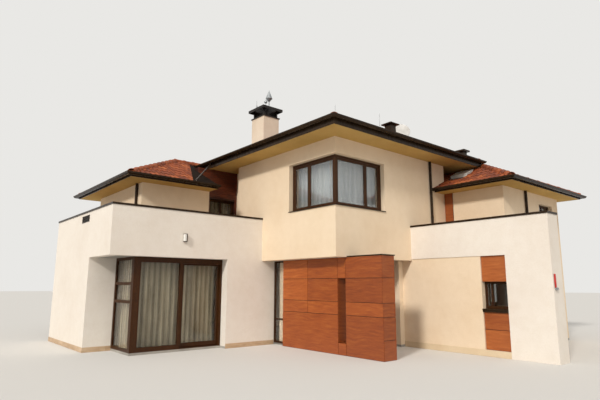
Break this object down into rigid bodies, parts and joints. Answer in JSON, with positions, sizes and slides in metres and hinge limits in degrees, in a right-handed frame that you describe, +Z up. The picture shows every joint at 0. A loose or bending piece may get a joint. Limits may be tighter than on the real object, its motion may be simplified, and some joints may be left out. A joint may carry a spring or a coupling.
{
  "type": "detached house",
  "caption": "Rendered two-storey house with a cantilevered bay, timber blade wall, two roof terraces and hipped tile roofs.",
  "frame": {"origin": "on the ground under the left end of the bay's front face", "axes": "+X to the right along the front, +Y towards the back, +Z up"},
  "size_m": [13.164, 14.234, 9.03],
  "materials": {
    "white_render": "scraped lime render",
    "cream_render": "scraped lime render",
    "concrete": "float finish",
    "soffit_board": "painted boards",
    "roof_tile": "engobed clay",
    "light_timber": "satin veneered panel",
    "dark_timber": "stained boards",
    "window_timber": "lacquered",
    "window_glass": "clear double glazing",
    "grey_metal": "satin coated sheet, dark brown grey",
    "chimney_render": "lime render",
    "dish_metal": "satin",
    "lamp_metal": "satin",
    "red_plastic": "moulded",
    "curtain_cloth": "woven"
  },
  "bodies": {
    "house": {"bay_front_wall": "cream_render", "bay_right_wall": "cream_render", "chimney_cap": "grey_metal", "chimney_stack": "chimney_render", "copings": "grey_metal", "corner_window_frame": "window_timber", "curtains": "curtain_cloth", "downspouts": "grey_metal", "entrance_door": "dark_timber", "ground_floor_slab": "concrete", "ground_window_frames": "window_timber", "gutters": "grey_metal", "hidden_window_frames": "window_timber", "hidden_window_glass": "window_glass", "left_block_walls": "cream_render", "left_roof": "roof_tile", "left_terrace_parapet": "white_render", "left_wall": "cream_render", "left_wing_walls": "white_render", "lower_roof_slab": "soffit_board", "main_roof": "roof_tile", "main_roof_slab": "soffit_board", "main_upper_walls": "cream_render", "meter_box": "red_plastic", "niche_door": "window_timber", "niche_timber_wall": "dark_timber", "porch_walls": "cream_render", "rear_block_walls": "cream_render", "rear_roof": "roof_tile", "rear_wall": "cream_render", "right_room_front_wall": "cream_render", "right_room_side_walls": "cream_render", "right_terrace_slab": "concrete", "roof_light": "grey_metal", "roof_vents": "grey_metal", "satellite_dish": "dish_metal", "shown_window_glass": "window_glass", "terrace_door_frame": "window_timber", "timber_blade_wall": "light_timber", "timber_strips": "light_timber", "upper_floor_slab": "concrete", "vent_grille": "grey_metal", "wall_lamp": "lamp_metal", "white_frame": "white_render", "window_sills": "grey_metal"},
    "terrace_door_leaf": {"sliding_leaf": "window_timber", "sliding_leaf_glass": "window_glass"}
  },
  "joints": [
    {"name": "terrace_door_slide", "type": "slide", "parent": "house", "child": "terrace_door_leaf", "axis": [0, -1, 0], "range_m": [0, 1.1]}
  ]
}
